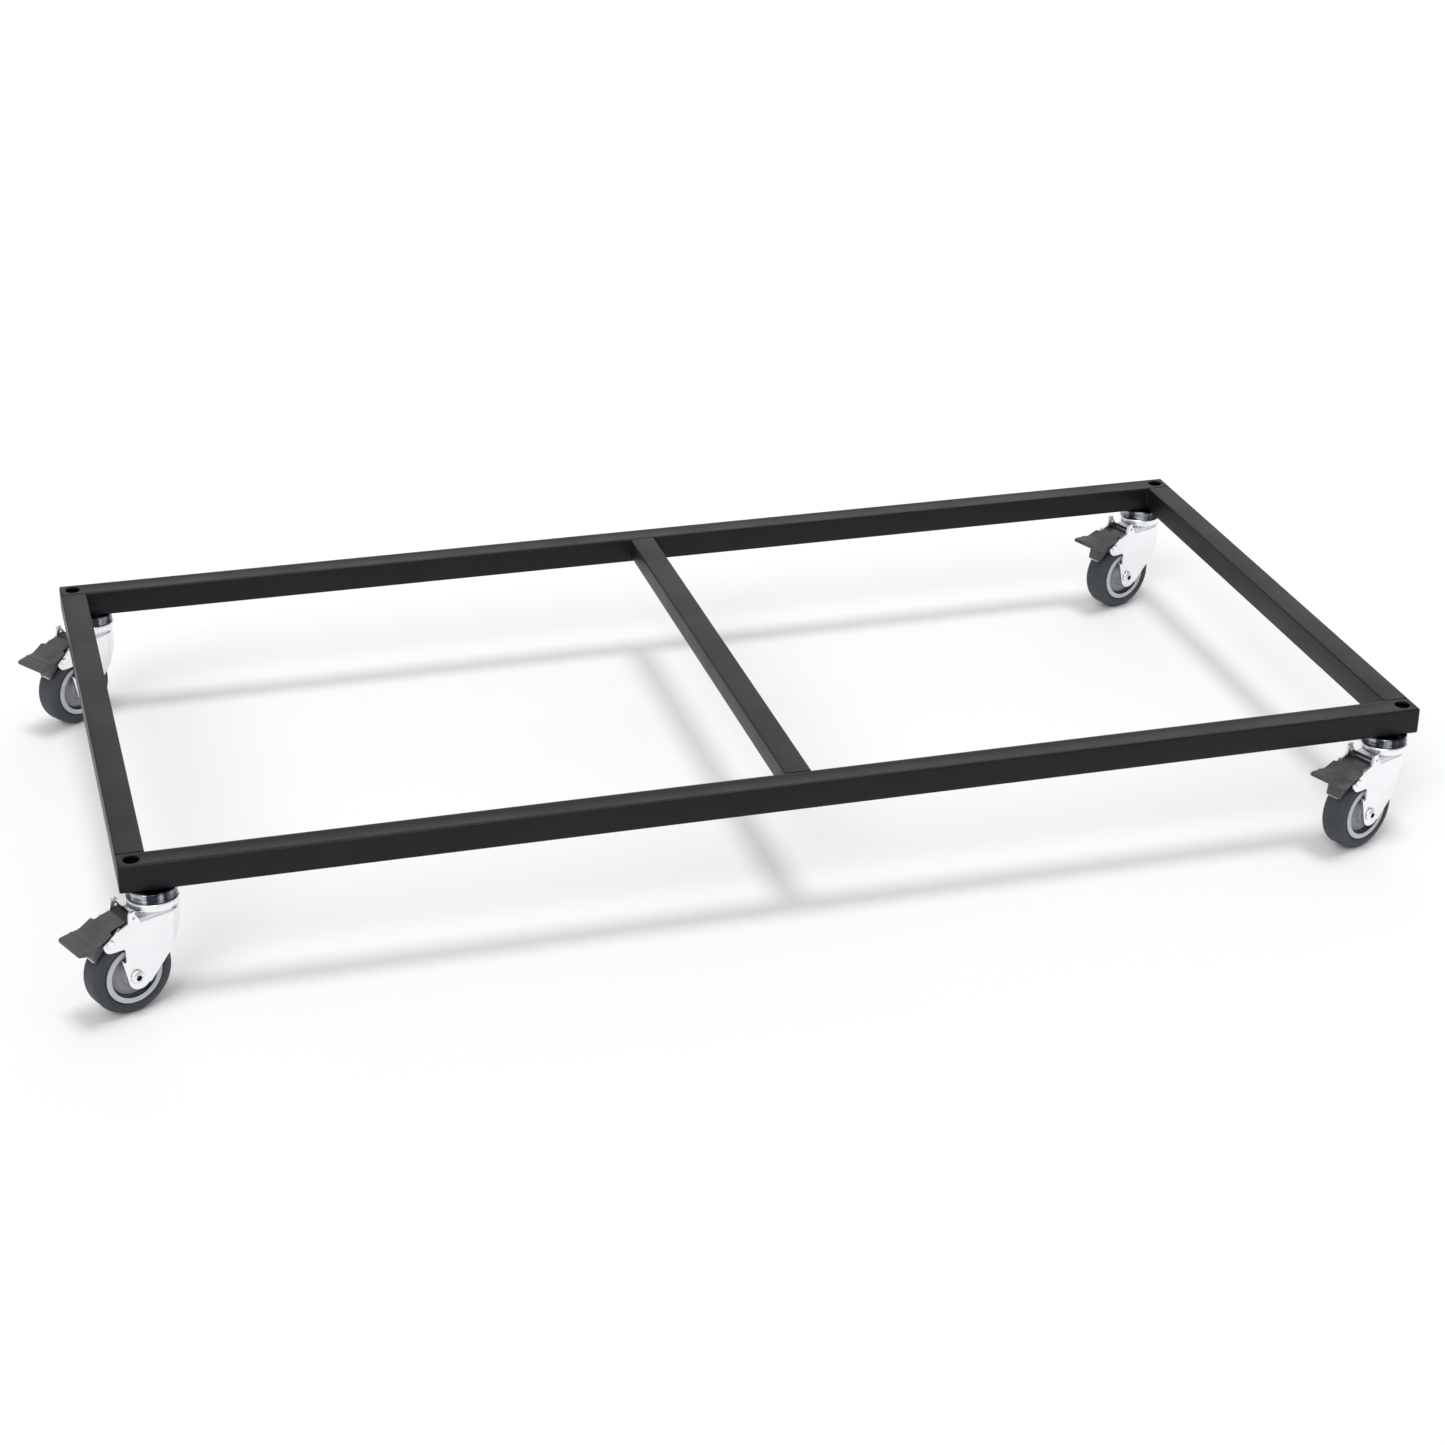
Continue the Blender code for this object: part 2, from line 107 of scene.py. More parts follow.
def castor_axes(corner):
    """The matrix from a castor's own axes to the model's, read from its joints."""
    across = Vector(JOINTS[corner + "_wheel_spin"]["axis"]).normalized()
    turn = Matrix((across.cross(UP), across, UP)).transposed().to_4x4()
    return Matrix.Translation(JOINTS[corner + "_swivel_turn"]["pos_m"]) @ turn


def in_castor(corner, joint):
    """Where one of a castor's joints is, in the castor's own axes."""
    return castor_axes(corner).inverted() @ Vector(JOINTS[f"{corner}_{joint}"]["pos_m"])


AXLE = in_castor("front_left", "wheel_spin")
PIVOT = in_castor("front_left", "pedal_press")
TYRE_LOW, TYRE_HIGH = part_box("front_left_tyre")
WHEEL_RADIUS = (TYRE_HIGH.z - TYRE_LOW.z) / 2
TYRE_HALF_WIDTH = 0.0125
SHOULDER = 0.0065


# Materials


def nodes_of(name):
    made = bpy.data.materials.new(name)
    made.use_nodes = True
    tree = made.node_tree
    return made, tree, tree.nodes["Principled BSDF"]


def noise_node(tree, place, scale, detail=2.0, roughness=0.5, stretch=(1, 1, 1)):
    """A noise pattern in metres, stretched along an axis by a small factor there."""
    mapping = tree.nodes.new("ShaderNodeMapping")
    mapping.inputs["Scale"].default_value = stretch
    tree.links.new(place.outputs["Object"], mapping.inputs["Vector"])
    pattern = tree.nodes.new("ShaderNodeTexNoise")
    pattern.inputs["Scale"].default_value = scale
    pattern.inputs["Detail"].default_value = detail
    pattern.inputs["Roughness"].default_value = roughness
    tree.links.new(mapping.outputs["Vector"], pattern.inputs["Vector"])
    return pattern


def spread(tree, pattern, low, high, from_low=0.3, from_high=0.7):
    """The pattern's value as a number between low and high."""
    node = tree.nodes.new("ShaderNodeMapRange")
    node.inputs["From Min"].default_value = from_low
    node.inputs["From Max"].default_value = from_high
    node.inputs["To Min"].default_value = low
    node.inputs["To Max"].default_value = high
    tree.links.new(pattern.outputs["Fac"], node.inputs["Value"])
    return node


def tint(tree, pattern, first, second, from_low=0.3, from_high=0.7):
    """A colour between first and second, as the pattern says."""
    ramp = tree.nodes.new("ShaderNodeValToRGB")
    ramp.color_ramp.elements[0].position = from_low
    ramp.color_ramp.elements[0].color = (*first, 1)
    ramp.color_ramp.elements[1].position = from_high
    ramp.color_ramp.elements[1].color = (*second, 1)
    tree.links.new(pattern.outputs["Fac"], ramp.inputs["Fac"])
    return ramp


def bump(tree, shader, pattern, depth, strength=1.0):
    node = tree.nodes.new("ShaderNodeBump")
    node.inputs["Distance"].default_value = depth
    node.inputs["Strength"].default_value = strength
    tree.links.new(pattern.outputs["Fac"], node.inputs["Height"])
    tree.links.new(node.outputs["Normal"], shader.inputs["Normal"])


def finish_material(
    name, first, second, mottle, roughness, grain, depth, metallic=0.0, specular=0.5
):
    """A surface whose colour drifts between two tones and whose fine grain catches the light."""
    made, tree, shader = nodes_of(name)
    place = tree.nodes.new("ShaderNodeTexCoord")
    drift = noise_node(tree, place, mottle, detail=3)
    fine = noise_node(tree, place, grain, detail=2)
    tree.links.new(tint(tree, drift, first, second).outputs["Color"], shader.inputs["Base Color"])
    rough = spread(tree, drift, *roughness)
    tree.links.new(rough.outputs["Result"], shader.inputs["Roughness"])
    shader.inputs["Metallic"].default_value = metallic
    shader.inputs["Specular IOR Level"].default_value = specular
    bump(tree, shader, fine, depth)
    return made


def painted_reflection_steel(name):
    """Glossy plating on the pressed cap, painted dark for the frame it mirrors, with upright bright
    streaks painted in as reflections.
    """
    made, tree, shader = nodes_of(name)
    place = tree.nodes.new("ShaderNodeTexCoord")
    # Painted reflection: upright streaks between a dark tone, for the frame mirrored in the cap,
    # and a pale tone, for bright reflections.
    streaks = noise_node(tree, place, 95, detail=3, roughness=0.55, stretch=(1, 1, 0.04))
    fine = noise_node(tree, place, 500, detail=2)
    colour = tint(tree, streaks, (0.030, 0.034, 0.045), (0.46, 0.48, 0.52), 0.50, 0.66)
    tree.links.new(colour.outputs["Color"], shader.inputs["Base Color"])
    rough = spread(tree, streaks, 0.12, 0.24)
    tree.links.new(rough.outputs["Result"], shader.inputs["Roughness"])
    shader.inputs["Metallic"].default_value = 1.0
    bump(tree, shader, fine, 0.00001)
    return made


def make_materials():
    return {
        "powder": finish_material(
            "black_powder_coat_finish",
            (0.0070, 0.0070, 0.0080),
            (0.0095, 0.0095, 0.0105),
            18,
            (0.36, 0.46),
            1500,
            0.00006,
            specular=0.20,
        ),
        "zinc": finish_material(
            "zinc_plate_finish",
            (0.88, 0.89, 0.91),
            (0.92, 0.93, 0.94),
            45,
            (0.27, 0.34),
            500,
            0.000006,
            metallic=1.0,
        ),
        # Painted shade: a dark zinc for the inside of the yoke and the face at its end.
        "painted_shade_zinc": finish_material(
            "painted_shade_zinc_finish",
            (0.16, 0.17, 0.20),
            (0.25, 0.26, 0.29),
            110,
            (0.40, 0.55),
            700,
            0.00002,
            metallic=1.0,
        ),
        # The cap: painted reflection, dark with bright upright streaks.
        "head": painted_reflection_steel("painted_reflection_cap_finish"),
        "dark_steel": finish_material(
            "dark_steel_finish",
            (0.055, 0.060, 0.075),
            (0.085, 0.090, 0.105),
            160,
            (0.16, 0.26),
            700,
            0.00001,
            metallic=1.0,
        ),
        "rubber": finish_material(
            "grey_rubber_finish",
            (0.034, 0.039, 0.048),
            (0.054, 0.060, 0.072),
            60,
            (0.52, 0.68),
            1300,
            0.00005,
            specular=0.35,
        ),
        "hub": finish_material(
            "grey_plastic_finish",
            (0.23, 0.24, 0.27),
            (0.29, 0.30, 0.33),
            120,
            (0.42, 0.54),
            1600,
            0.00003,
        ),
        "hub_rim": finish_material(
            "pale_plastic_finish",
            (0.46, 0.475, 0.505),
            (0.53, 0.545, 0.575),
            70,
            (0.34, 0.44),
            1600,
            0.00002,
        ),
        # Black plastic for the pedal's neck, partly painted shade from the rail above it; also
        # painted shade inside the axle bolt's socket.
        "neck": finish_material(
            "black_plastic_and_painted_shade_finish",
            (0.010, 0.011, 0.016),
            (0.016, 0.017, 0.023),
            90,
            (0.44, 0.56),
            1800,
            0.00004,
        ),
        "pedal": finish_material(
            "dark_plastic_finish",
            (0.052, 0.051, 0.054),
            (0.074, 0.072, 0.075),
            90,
            (0.44, 0.56),
            1800,
            0.00006,
        ),
    }


# Shapes


def rounded(points, steps=5):
    """A closed outline of (a, b, corner radius) points, with its corners rounded off."""
    made = []
    for i, (a, b, radius) in enumerate(points):
        here = Vector((a, b))
        if radius == 0:
            made.append((a, b))
            continue
        before = Vector(points[i - 1][:2]) - here
        after = Vector(points[(i + 1) % len(points)][:2]) - here
        reach = radius / tan(max(before.angle(after) / 2, 0.01))
        reach = min(reach, 0.48 * before.length, 0.48 * after.length)
        start, end = here + before.normalized() * reach, here + after.normalized() * reach
        for k in range(steps + 1):
            t = k / steps
            made.append(tuple((1 - t) ** 2 * start + 2 * t * (1 - t) * here + t * t * end))
    return made


def arc(centre, radius, start, end, count):
    steps = [radians(start + (end - start) * i / (count - 1)) for i in range(count)]
    return [(centre[0] + radius * cos(a), centre[1] + radius * sin(a)) for a in steps]


def object_of(name, bm):
    """A new object with this mesh, welded and with its faces pointing out."""
    bmesh.ops.remove_doubles(bm, verts=bm.verts, dist=1e-7)
    bmesh.ops.recalc_face_normals(bm, faces=bm.faces)
    mesh = bpy.data.meshes.new(name)
    bm.to_mesh(mesh)
    bm.free()
    obj = bpy.data.objects.new(name, mesh)
    bpy.context.scene.collection.objects.link(obj)
    return obj


def box(name, low, high):
    bm = bmesh.new()
    bmesh.ops.create_cube(bm, size=1.0)
    bmesh.ops.scale(bm, vec=Vector(high) - Vector(low), verts=bm.verts)
    bmesh.ops.translate(bm, vec=(Vector(high) + Vector(low)) / 2, verts=bm.verts)
    return object_of(name, bm)


def turned(name, profile, steps=72, about="Z", centre=(0, 0, 0), closed=True):
    """A profile of (radius, height) points turned about an upright axis, or about Y."""
    bm = bmesh.new()
    verts = [bm.verts.new((radius, 0, height)) for radius, height in profile]
    pairs = list(zip(verts, verts[1:])) + ([(verts[-1], verts[0])] if closed else [])
    edges = [bm.edges.new(pair) for pair in pairs]
    bmesh.ops.spin(
        bm, geom=verts + edges, angle=2 * pi, steps=steps, axis=UP, cent=(0, 0, 0), use_merge=True
    )
    if about == "Y":
        bmesh.ops.rotate(bm, matrix=Matrix.Rotation(-pi / 2, 3, "X"), verts=bm.verts)
    bmesh.ops.translate(bm, vec=centre, verts=bm.verts)
    return object_of(name, bm)


def extruded(name, outline, low, high):
    """A flat outline of (X, Z) points made solid along Y, from low to high."""
    bm = bmesh.new()
    near = [bm.verts.new((x, low, z)) for x, z in outline]
    far = [bm.verts.new((x, high, z)) for x, z in outline]
    bm.faces.new(near)
    bm.faces.new(list(reversed(far)))
    for i, vert in enumerate(near):
        bm.faces.new((near[i - 1], far[i - 1], far[i], vert))
    return object_of(name, bm)


def lofted(name, rings):
    """A closed solid through rings of points, which all hold as many points."""
    bm = bmesh.new()
    loops = [[bm.verts.new(point) for point in ring] for ring in rings]
    for one, two in zip(loops, loops[1:]):
        for i in range(len(one)):
            bm.faces.new((one[i - 1], one[i], two[i], two[i - 1]))
    bm.faces.new(list(reversed(loops[0])))
    bm.faces.new(loops[-1])
    return object_of(name, bm)


def settle(obj):
    """Applies the object's modifiers."""
    bpy.context.view_layer.update()
    graph = bpy.context.evaluated_depsgraph_get()
    mesh = bpy.data.meshes.new_from_object(obj.evaluated_get(graph))
    obj.modifiers.clear()
    obj.data = mesh
    return obj


def combine(obj, other, operation="DIFFERENCE"):
    modifier = obj.modifiers.new(operation, "BOOLEAN")
    modifier.operation = operation
    modifier.object = other
    settle(obj)
    bpy.data.objects.remove(other)
    return obj


def soften(obj, width, segments=2, angle=35):
    """Rounds the object's edges, after joining the flat faces that a cut has left in pieces."""
    bm = bmesh.new()
    bm.from_mesh(obj.data)
    bmesh.ops.dissolve_limit(bm, angle_limit=radians(0.5), verts=bm.verts, edges=bm.edges)
    bm.to_mesh(obj.data)
    bm.free()
    modifier = obj.modifiers.new("Edges", "BEVEL")
    modifier.width = width
    modifier.segments = segments
    modifier.limit_method = "ANGLE"
    modifier.angle_limit = radians(angle)
    return settle(obj)


def split_level(obj, height):
    """Cuts the object's faces at a height, so that they can differ above and below it."""
    bm = bmesh.new()
    bm.from_mesh(obj.data)
    everything = bm.verts[:] + bm.edges[:] + bm.faces[:]
    bmesh.ops.bisect_plane(bm, geom=everything, plane_co=(0, 0, height), plane_no=UP)
    bm.to_mesh(obj.data)
    bm.free()


def shade(obj, materials, angle=38):
    finishes = [face.material_index for face in obj.data.polygons]
    obj.data.materials.clear()
    for material in materials:
        obj.data.materials.append(material)
    obj.data.polygons.foreach_set("material_index", finishes)
    obj.data.shade_smooth()
    obj.data.set_sharp_from_angle(angle=radians(angle))
    return obj


# The frame


def bar(name, low, high, edge, closed_ends):
    """A square bar along its longest side, with its long edges, and its ends', rounded."""
    bar_object = box(name, low, high)
    size = Vector(high) - Vector(low)
    along = max(range(3), key=lambda axis: size[axis])
    bm = bmesh.new()
    bm.from_mesh(bar_object.data)
    rims = [
        e for e in bm.edges
        if closed_ends or abs((e.verts[0].co - e.verts[1].co)[along]) > size[along] / 2
    ]
    bmesh.ops.bevel(bm, geom=rims, offset=edge, segments=4, profile=0.5, affect="EDGES")
    bm.to_mesh(bar_object.data)
    bm.free()
    return bar_object


def hole_cutter(x, y, top, radius, down):
    """A cutter for a hole in a tube's top, or underside, that rounds the hole's lip."""
    side = -1 if down else 1
    lip = [
        (radius + HOLE_LIP * (1 - cos(a)), side * HOLE_LIP * (sin(a) - 1))
        for a in (pi / 2 * k / 4 for k in range(5))
    ]
    profile = [(0, -side * 0.008), (radius, -side * 0.008), *lip, (lip[-1][0], side * 0.004)]
    profile += [(0, side * 0.004)]
    return turned("hole", profile, 48, centre=(x, y, top), closed=False)


def long_rail(name, stems):
    low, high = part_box(name)
    rail = bar(name + "_tube", low, high, TUBE_EDGE, True)
    wall = Vector((TUBE_WALL, TUBE_WALL, TUBE_WALL))
    combine(rail, bar("hollow", low + wall, high - wall, 0.0008, True))
    middle = (low.y + high.y) / 2
    half = (high.y - low.y) / 2
    for x in (low.x + half, high.x - half):
        combine(rail, hole_cutter(x, middle, high.z, HOLE_RADIUS, False))
    for stem in stems:
        combine(rail, hole_cutter(stem.x, stem.y, low.z, STEM_HOLE_RADIUS, True))
    return rail


def short_tube(name):
    low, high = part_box(name)
    tube = bar(name + "_tube", low, high, TUBE_EDGE, False)
    wall = Vector((TUBE_WALL, -0.01, TUBE_WALL))
    return combine(tube, bar("hollow", low + wall, high - wall, 0.0008, False))


def bead_points(start, end, radius, seed):
    """Rings of a weld bead between two points: small overlapping ripples."""
    start, end = Vector(start), Vector(end)
    along = (end - start).normalized()
    side = along.orthogonal().normalized()
    other = along.cross(side)
    count = max(8, round((end - start).length / (BEAD_PITCH / 6)))
    rings = []
    for i in range(count + 1):
        t = i / count
        here = start.lerp(end, t)
        ripple = abs(sin(pi * (end - start).length * t / BEAD_PITCH))
        wander = 0.12 * noise.noise(Vector((here.x * 300, here.y * 300, here.z * 300 + seed)))
        fade = min(1.0, 0.35 + 3 * t, 0.35 + 3 * (1 - t))
        size = radius * fade * (0.92 + 0.08 * ripple + wander)
        turns = (2 * pi * k / BEAD_SIDES for k in range(BEAD_SIDES))
        rings.append([here + size * (cos(a) * side + sin(a) * other) for a in turns])
    return rings


def join(name, objects):
    """One object with the meshes of these."""
    bm = bmesh.new()
    for obj in objects:
        bm.from_mesh(obj.data)
        bpy.data.objects.remove(obj)
    return object_of(name, bm)


def weld(name, both_sides):
    """The beads at a short tube's two ends: in the upright corners and under the joint."""
    low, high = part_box(name)
    inset = 0.0004
    beads = []
    end_x = -1 if (low.x + high.x) / 2 < (CAD_BOX[0].x + CAD_BOX[1].x) / 2 else 1
    sides = (-1, 1) if both_sides else (-end_x,)
    for y, toward in ((low.y, -1), (high.y, 1)):
        corner_y = y + toward * 0.0003
        for side in sides:
            x = (high.x if side > 0 else low.x) + side * inset
            foot = (x, corner_y - toward * inset, low.z + 0.0020)
            head = (x, corner_y - toward * inset, high.z - 0.0028)
            beads.append(lofted("bead", bead_points(foot, head, BEAD_RADIUS, side)))
        left = (low.x + 0.0030, corner_y, low.z - 0.0001)
        right = (high.x - 0.0030, corner_y, low.z - 0.0001)
        beads.append(lofted("bead", bead_points(left, right, BEAD_RADIUS * 0.8, y)))
    return join(name + "_weld", beads)


def make_frame(materials):
    stems = {c: Vector(JOINTS[c + "_swivel_turn"]["pos_m"]) for c in CORNERS}
    tubes = {
        "front_rail": long_rail("front_rail", [stems["front_left"], stems["front_right"]]),
        "rear_rail": long_rail("rear_rail", [stems["rear_left"], stems["rear_right"]]),
        "left_end_rail": short_tube("left_end_rail"),
        "right_end_rail": short_tube("right_end_rail"),
        "cross_member": short_tube("cross_member"),
    }
    for node, tube in tubes.items():
        shade(tube, [materials["powder"]])
        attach(tube, "frame")
        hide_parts(node)
    for node in ("left_end_rail", "right_end_rail", "cross_member"):
        beads = shade(weld(node, node == "cross_member"), [materials["powder"]], 60)
        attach(beads, "frame")


# The castor's pieces


def head_cap():
    """The fixed upper race: a pressed cap with a rolled edge and a step in its band."""
    outline = [
        (STEM_RADIUS, -0.0003, 0),
        (HEAD_RADIUS - 0.0004, -0.0003, 0.0016),
        (HEAD_RADIUS, -0.0046, 0.0004),
        (HEAD_RADIUS - 0.0005, -0.0050, 0.0003),
        (HEAD_RADIUS - 0.0005, -0.0062, 0.0003),
        (HEAD_RADIUS, -0.0066, 0.0004),
        (HEAD_RADIUS, -HEAD_HEIGHT, 0.0005),
        (HEAD_RADIUS - 0.0020, -HEAD_HEIGHT, 0.0003),
        (HEAD_RADIUS - 0.0020, -0.0042, 0.0008),
        (0.0115, -0.0042, 0.0004),
        (0.0105, -0.0074, 0.0003),
        (STEM_RADIUS, -0.0074, 0),
    ]
    return turned("head_cap", rounded(outline, 4), 96)


def fork_crown():
    """The lower race, pressed into the fork: a rim that turns up round the head."""
    outline = [
        (STEM_RADIUS, -0.0098, 0),
        (0.0172, -0.0098, 0.0010),
        (0.0190, CROWN_TOP, 0.0008),
        (CROWN_RADIUS, CROWN_TOP, 0.0013),
        (CROWN_RADIUS, CROWN_UNDER, 0.0015),
        (0.0162, CROWN_UNDER, 0.0004),
        (0.0155, YOKE_TOP - 0.0002, 0.0010),
        (STEM_RADIUS, YOKE_TOP - 0.0002, 0),
    ]
    return turned("fork_crown", rounded(outline, 4), 96)


def yoke_block(name, half_width, top, rounding, behind_top):
    """A block with the yoke's plan: a rounded leading end and a rounded top edge.

    Behind the yoke's end its top is at another height, so that the legs can stand above it."""
    levels = 7
    leading = [radians(90 + 90 * k / 14) for k in range(15)]
    rings = []
    for level in range(-1, levels):
        angle = pi / 2 * max(level, 0) / (levels - 1)
        inset = rounding * (1 - cos(angle))
        drop = rounding * (1 - sin(angle)) if level >= 0 else 0.2
        half = half_width - inset
        side = [(0.1, half), (YOKE_END, half), (YOKE_END - 0.0001, half)]
        side += [(YOKE_BEND + half * cos(a), half * sin(a)) for a in leading]
        ring = side + [(x, -y) for x, y in reversed(side[:-1])]
        rings.append([(x, y, (behind_top if x >= YOKE_END else top) - drop) for x, y in ring])
    bm = bmesh.new()
    loops = [[bm.verts.new(point) for point in ring] for ring in rings]
    for one, two in zip(loops, loops[1:]):
        for i in range(len(one)):
            bm.faces.new((one[i - 1], one[i], two[i], two[i - 1]))
    bm.faces.new(list(reversed(loops[0])))
    last = loops[-1]
    for i in range((len(last) - 1) // 2):
        corners = [last[i], last[i + 1], last[-2 - i], last[-1 - i]]
        bm.faces.new(list(dict.fromkeys(corners)))
    return object_of(name, bm)


def fork_side():
    """The fork's side view: down its leading edge, round the axle and up over the ear."""
    leading = rounded(
        [
            (YOKE_END, YOKE_TOP + 0.0001, 0),
            (-0.0300, YOKE_TOP + 0.0001, 0),
            (-0.0235, -0.0215, 0),
            (-0.0216, -0.0285, 0.006),
            (-0.0125, -0.0440, 0.020),
            (-0.0066, -0.0562, 0.020),
            (0.0065, -0.0705, 0.020),
            (0.0160, -0.0812, 0),
        ],
        6,
    )
    foot = arc((0.0265, -0.0745), 0.0105, 222, 350, 16)
    trailing = rounded(
        [(0.0374, -0.0600, 0.02), (0.0377, -0.0424, 0.0028), (0.0480, -0.0422, 0)], 6
    )
    ear = arc((0.0503, -0.0352), 0.0068, 262, 385, 18)
    tab = rounded(
        [
            (0.0470, -0.0254, 0.004),
            (0.0336, -0.0208, 0.0015),
            (0.0312, -0.0104, 0.0022),
            (0.0243, -0.0104, 0.0018),
        ],
        5,
    )
    return leading + foot + trailing + ear + tab


def fork_yoke():
    """The pressed sheet: a hood over the wheel, two legs with ears, and a tab on each."""
    yoke = extruded("fork_yoke", fork_side(), -0.03, 0.03)
    combine(yoke, yoke_block("outside", LEG_OUTSIDE, YOKE_TOP, 0.0042, 0.02), "INTERSECT")
    inside_top = YOKE_TOP - YOKE_SHEET
    combine(yoke, yoke_block("inside", LEG_INSIDE, inside_top, 0.0022, 0.03))
    for radius, place in ((AXLE_RADIUS + 0.0003, AXLE), (PIN_RADIUS + 0.0003, PIVOT)):
        outline = [(0, -0.03), (radius, -0.03), (radius, 0.03), (0, 0.03)]
        combine(yoke, turned("bore", outline, 32, "Y", place, closed=False))
    for side in (-1, 1):
        outline = [(0, -0.005), (TAB_HOLE_RADIUS, -0.005), (TAB_HOLE_RADIUS, 0.005), (0, 0.005)]
        place = (TAB_HOLE[0], side * (LEG_INSIDE + LEG_OUTSIDE) / 2, TAB_HOLE[1])
        combine(yoke, turned("spring_hole", outline, 20, "Y", place, closed=False))
    stem = [(0, -0.03), (STEM_RADIUS, -0.03), (STEM_RADIUS, 0.0), (0, 0.0)]
    combine(yoke, turned("stem_bore", stem, 32, closed=False))
    soften(yoke, 0.0006, 2)
    split_level(yoke, YOKE_TOP + 0.0010)
    # Painted shade: faces inside the yoke, below its sheet's inner top, and the face at its end
    # take the dark zinc.
    for face in yoke.data.polygons:
        reach = sqrt(min(face.center.x - YOKE_BEND, 0) ** 2 + face.center.y**2)
        within = reach < LEG_INSIDE + 0.0003 and face.center.z < inside_top + 0.0005
        end = abs(face.center.x - YOKE_END) < 0.0004 and abs(face.center.y) < LEG_INSIDE
        face.material_index = int(within or end)
    return yoke


def on_axle(name, profile, steps=96, closed=True):
    return turned(name, profile, steps, "Y", AXLE, closed)


def tyre():
    """Solid rubber with round shoulders, a fine mould line and a raised ring on each side."""
    half, radius = TYRE_HALF_WIDTH, WHEEL_RADIUS
    inner = HUB_RADIUS + 0.0003
    face = [
        (inner, half - 0.0012, 0),
        (0.0283, half - 0.0005, 0.0004),
        (0.0298, half - 0.0005, 0.0002),
        (0.0301, half, 0.0002),
    ]
    shoulder = arc((radius - SHOULDER, half - SHOULDER), SHOULDER, 90, 4, 14)
    crown = [(radius - 0.0001, 0.0025), (radius - 0.0001, 0.0004), (radius, 0.00015)]
    side = rounded(face, 4) + shoulder + crown
    return on_axle("tyre_rubber", side + [(r, -y) for r, y in reversed(side)], 128)


def wheel_hub():
    """The moulded hub: a boss, a dished web, and a pale rim on each side, with the groove inside
    the rim painted dark as its shade.
    """
    half = TYRE_HALF_WIDTH
    side = [
        (0.0073, 0.0132, 0),
        (0.0100, 0.0132, 0.0006),
        (0.0112, 0.0092, 0.0010),
        (0.0124, 0.0078, 0.0014),
        (0.0200, 0.0070, 0.0010),
        (0.0206, 0.0086, 0.0004),
        (0.0212, 0.0086, 0.0002),
        (0.0218, half, 0.0006),
        (0.0262, half + 0.0002, 0.0008),
        (0.0266, half - 0.0010, 0.0003),
        (HUB_RADIUS, half - 0.0010, 0.0003),
    ]
    other = [(r, -y, corner) for r, y, corner in reversed(side)]
    hub = on_axle("hub_moulding", rounded(side + other, 5), 96)
    for face in hub.data.polygons:
        centre = face.center - AXLE
        reach = sqrt(centre.x**2 + centre.z**2)
        if 0.0216 < reach < 0.0265 and abs(centre.y) > 0.0105:
            face.material_index = 1
        # Painted shade: the groove inside the rim takes the dark rubber; past the rim the hub takes
        # the rubber too.
        elif 0.0198 < reach < 0.0219 or reach > 0.0265:
            face.material_index = 2
    return hub


def hexagon(name, across, low, high, chamfer, centre):
    """A hexagon along Y with both faces' corners turned off."""
    radius = across / sqrt(3)
    turns = (pi / 3 * k for k in range(6))
    points = [(centre.x + radius * cos(a), centre.z + radius * sin(a)) for a in turns]
    solid = extruded(name, points, centre.y + low, centre.y + high)
    inner = across / 2 - chamfer
    round_off = [
        (0, low),
        (inner, low),
        (radius, low + chamfer),
        (radius, high - chamfer),
        (inner, high),
        (0, high),
    ]
    return combine(solid, turned("chamfer", round_off, 48, "Y", centre, closed=False), "INTERSECT")


def axle_bolt():
    """A button head with a hexagon socket on the +Y side, and the threaded end on the other."""
    face = LEG_OUTSIDE + 0.0003
    crest = AXLE_RADIUS - 0.0001
    outline = [
        (0, face + 0.0031, 0),
        (0.0030, face + 0.0031, 0.0004),
        (0.0060, face + 0.0016, 0.0024),
        (0.0064, face, 0.0003),
        (crest, face, 0),
        (crest, -face - 0.0056, 0),
    ]
    points = rounded(outline, 5)
    pitch = 0.0008
    for k in range(2):
        y = -face - 0.0058 - k * pitch
        points += [(crest - 0.0004, y), (crest, y - pitch / 2)]
    points += [(crest - 0.0006, -face - 0.0074), (0, -face - 0.0074)]
    bolt = on_axle("axle_bolt_head", points, 48, closed=False)
    combine(bolt, hexagon("socket", 0.0050, face + 0.0010, face + 0.0060, 0.0, AXLE))
    # Painted shade: the socket's walls and floor take the black finish.
    for side in bolt.data.polygons:
        reach = sqrt((side.center.x - AXLE.x) ** 2 + (side.center.z - AXLE.z) ** 2)
        wall = side.center.y > 0 and abs(side.normal.y) < 0.5
        floor = face + 0.0005 < side.center.y < face + 0.0020
        side.material_index = int(reach < SOCKET_REACH and (wall or floor))
    return bolt


def axle_nut():
    """A lock nut: a chamfered hexagon with a round collar, bored for the axle."""
    face = LEG_OUTSIDE + 0.0003
    nut = hexagon("axle_nut_hexagon", 0.0128, -face - 0.0050, -face, 0.0007, AXLE)
    collar = [
        (0, -face - 0.0066, 0),
        (0.0050, -face - 0.0066, 0.0008),
        (0.0052, -face - 0.0040, 0),
        (0, -face - 0.0040, 0),
    ]
    combine(nut, on_axle("collar", rounded(collar, 4), 48, closed=False), "UNION")
    bore = AXLE_RADIUS + 0.0001
    drill = [(0, -0.04), (bore, -0.04), (bore, 0), (0, 0)]
    return combine(nut, on_axle("bore", drill, 48, closed=False))


def pedal_pin():
    """The rivet through the ears, with a domed head on each side."""
    face = LEG_OUTSIDE + 0.0003
    half = [(0, face + 0.0014, 0), (0.0030, face + 0.0014, 0.0014), (0.0038, face, 0.0002)]
    half += [(PIN_RADIUS, face, 0)]
    whole = half + [(r, -y, corner) for r, y, corner in reversed(half)]
    return turned("pin_rivet", rounded(whole, 5), 40, "Y", PIVOT, closed=False)


